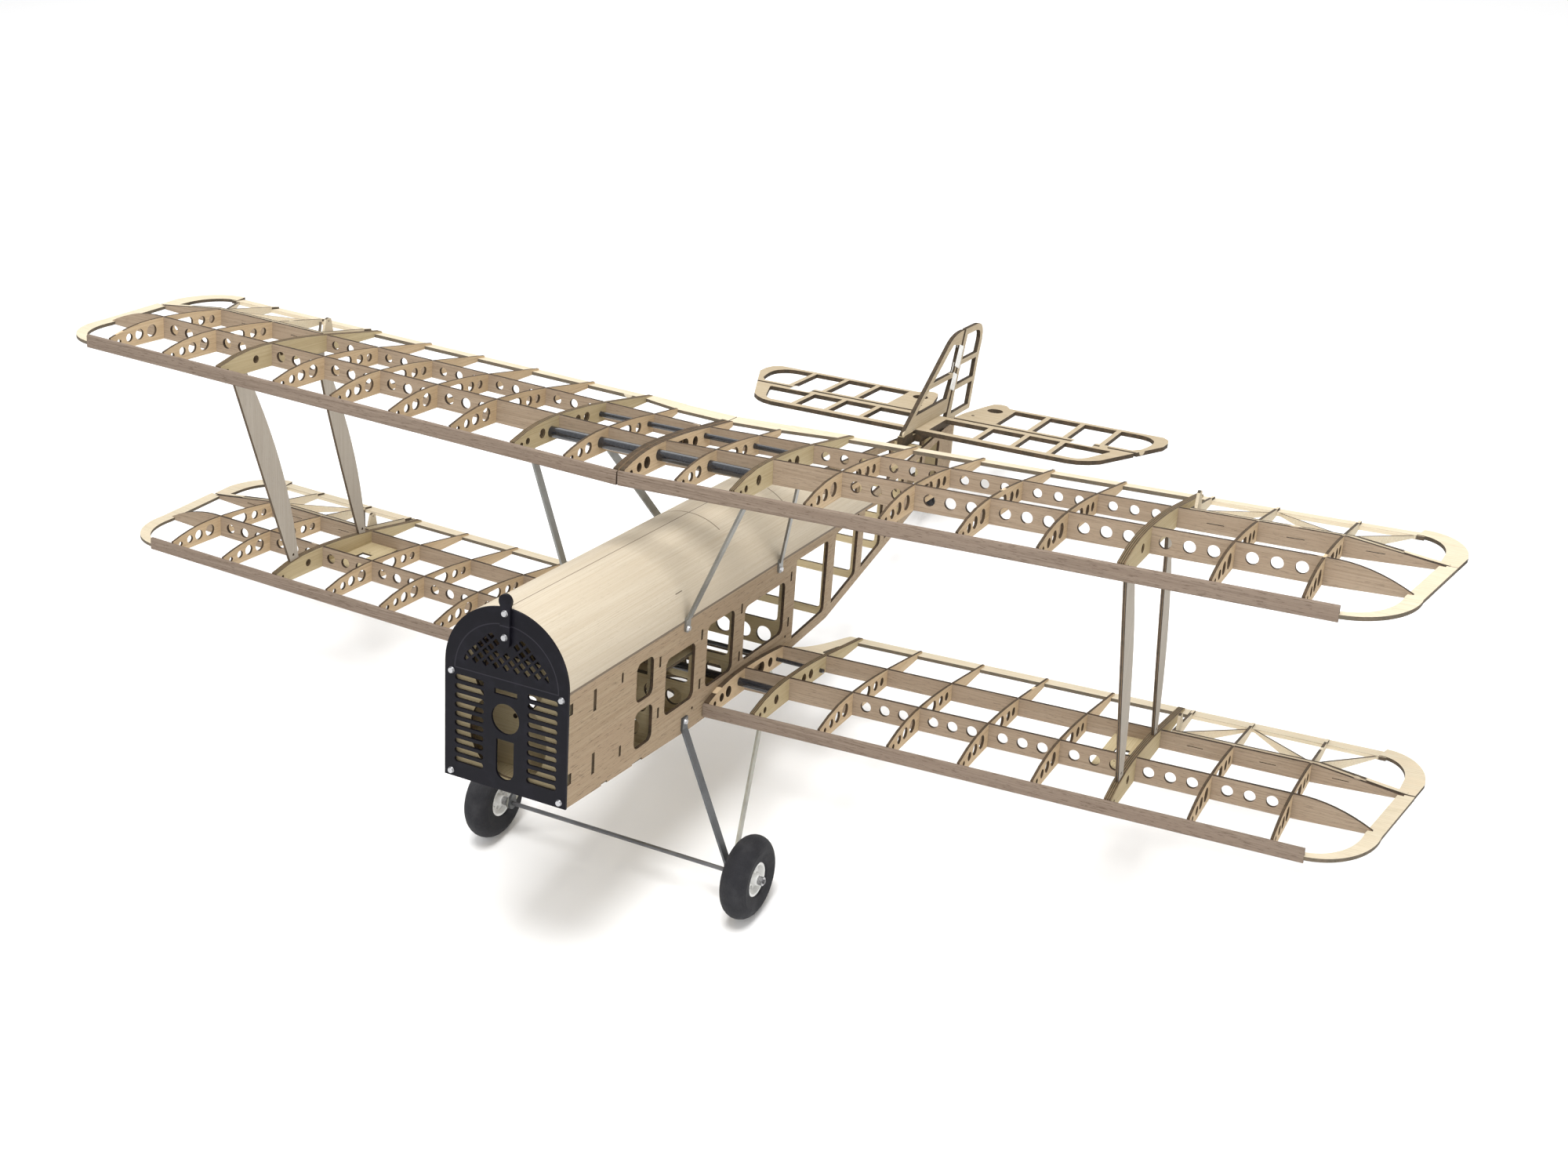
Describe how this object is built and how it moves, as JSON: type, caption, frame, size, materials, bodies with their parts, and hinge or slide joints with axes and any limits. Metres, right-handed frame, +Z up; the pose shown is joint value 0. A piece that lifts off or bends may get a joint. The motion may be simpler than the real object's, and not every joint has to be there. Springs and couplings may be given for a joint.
{
  "type": "radio-controlled biplane airframe",
  "caption": "Uncovered balsa and plywood radio-controlled biplane airframe with hinged control surfaces, strip cabane and landing gear struts, and rolling wheels.",
  "frame": {"origin": "on the ground, under the middle of the bounding box", "axes": "+X towards the nose, +Y towards the port wing tip, +Z up; the model is parked on its main wheels and tail wheel, 12 degrees nose-up"},
  "size_m": [1.0412, 1.2992, 0.4051],
  "materials": {
    "balsa": "matte",
    "plywood": "matte",
    "deck_sheet": "satin",
    "black_plate": "semi-gloss",
    "tube": "gloss",
    "alloy": "satin",
    "axle_steel": "brushed",
    "screws": "satin",
    "nylon": "satin",
    "tyre": "matte",
    "hub": "satin"
  },
  "bodies": {
    "airframe": {"front_plate": "black_plate", "front_strap": "black_plate", "front_plate_screws": "screws", "firewall": "plywood", "nose_trays": "plywood", "fuselage_formers": "plywood", "tail_formers": "plywood", "side_port": "balsa", "side_starboard": "balsa", "deck_port": "deck_sheet", "deck_starboard": "deck_sheet", "turtle_deck": "deck_sheet", "belly": "plywood", "tail_saddle": "plywood", "tail_bracket": "alloy", "wing_tubes": "tube", "cabane_struts": "alloy", "interplane_struts": "plywood", "gear_legs_front": "alloy", "gear_legs_rear": "alloy", "axle": "axle_steel", "axle_collars": "axle_steel", "strut_screws": "screws", "upper_leading_edges": "balsa", "upper_main_spars": "balsa", "upper_rear_spars": "balsa", "upper_ribs": "balsa", "upper_ply_ribs": "plywood", "upper_trailing_edges": "balsa", "upper_tips": "balsa", "lower_leading_edges": "balsa", "lower_main_spars": "balsa", "lower_rear_spars": "balsa", "lower_ribs": "balsa", "lower_ply_ribs": "plywood", "lower_trailing_edges": "balsa", "lower_tips": "balsa", "servo_plates": "plywood", "stabiliser": "balsa", "fin": "balsa", "hinge_leaves": "nylon"},
    "aileron_upper_port": {"aileron_upper_port": "balsa", "aileron_leaves_upper_port": "nylon"},
    "aileron_upper_starboard": {"aileron_upper_starboard": "balsa", "aileron_leaves_upper_starboard": "nylon"},
    "aileron_lower_port": {"aileron_lower_port": "balsa", "aileron_leaves_lower_port": "nylon"},
    "aileron_lower_starboard": {"aileron_lower_starboard": "balsa", "aileron_leaves_lower_starboard": "nylon"},
    "elevator_port": {"elevator_port": "balsa", "elevator_leaves_port": "nylon"},
    "elevator_starboard": {"elevator_starboard": "balsa", "elevator_leaves_starboard": "nylon"},
    "rudder": {"rudder": "balsa", "rudder_leaves": "nylon"},
    "wheel_port": {"tyre_port": "tyre", "hub_port": "hub"},
    "wheel_starboard": {"tyre_starboard": "tyre", "hub_starboard": "hub"},
    "tail_wheel": {"tail_wheel": "tyre"}
  },
  "joints": [
    {"name": "aileron_upper_port_hinge", "type": "hinge", "parent": "airframe", "child": "aileron_upper_port", "pos_m": [0.16519, 0.52449, 0.36603], "axis": [-0.0065, 0.9995, 0.0307], "range_deg": [-20, 20]},
    {"name": "aileron_upper_starboard_hinge", "type": "hinge", "parent": "airframe", "child": "aileron_upper_starboard", "pos_m": [0.16519, -0.52449, 0.36603], "axis": [0.0065, 0.9995, -0.0307], "range_deg": [-20, 20]},
    {"name": "aileron_lower_port_hinge", "type": "hinge", "parent": "airframe", "child": "aileron_lower_port", "pos_m": [0.14718, 0.52449, 0.13433], "axis": [-0.0065, 0.9995, 0.0307], "range_deg": [-20, 20]},
    {"name": "aileron_lower_starboard_hinge", "type": "hinge", "parent": "airframe", "child": "aileron_lower_starboard", "pos_m": [0.14718, -0.52449, 0.13433], "axis": [0.0065, 0.9995, -0.0307], "range_deg": [-20, 20]},
    {"name": "elevator_port_hinge", "type": "hinge", "parent": "airframe", "child": "elevator_port", "pos_m": [-0.38335, 0.132, 0.11621], "axis": [0, 1, 0], "range_deg": [-20, 20]},
    {"name": "elevator_starboard_hinge", "type": "hinge", "parent": "airframe", "child": "elevator_starboard", "pos_m": [-0.38335, -0.132, 0.11621], "axis": [0, 1, 0], "range_deg": [-20, 20]},
    {"name": "rudder_hinge", "type": "hinge", "parent": "airframe", "child": "rudder", "pos_m": [-0.40539, 0, 0.11408], "axis": [-0.5359, 0, 0.8443], "range_deg": [-22, 22]},
    {"name": "wheel_port_axle", "type": "hinge", "parent": "airframe", "child": "wheel_port", "pos_m": [0.36936, 0.1334, 0.038], "axis": [0, 1, 0], "continuous": true},
    {"name": "wheel_starboard_axle", "type": "hinge", "parent": "airframe", "child": "wheel_starboard", "pos_m": [0.36936, -0.1334, 0.038], "axis": [0, 1, 0], "continuous": true},
    {"name": "tail_wheel_axle", "type": "hinge", "parent": "airframe", "child": "tail_wheel", "pos_m": [-0.369, 0, 0.015], "axis": [0, 1, 0], "continuous": true}
  ],
  "couplings": [
    {"joint": "aileron_lower_port_hinge", "follows": "aileron_upper_port_hinge", "ratio": 1},
    {"joint": "aileron_upper_starboard_hinge", "follows": "aileron_upper_port_hinge", "ratio": -1},
    {"joint": "aileron_lower_starboard_hinge", "follows": "aileron_upper_port_hinge", "ratio": -1},
    {"joint": "elevator_starboard_hinge", "follows": "elevator_port_hinge", "ratio": 1}
  ]
}
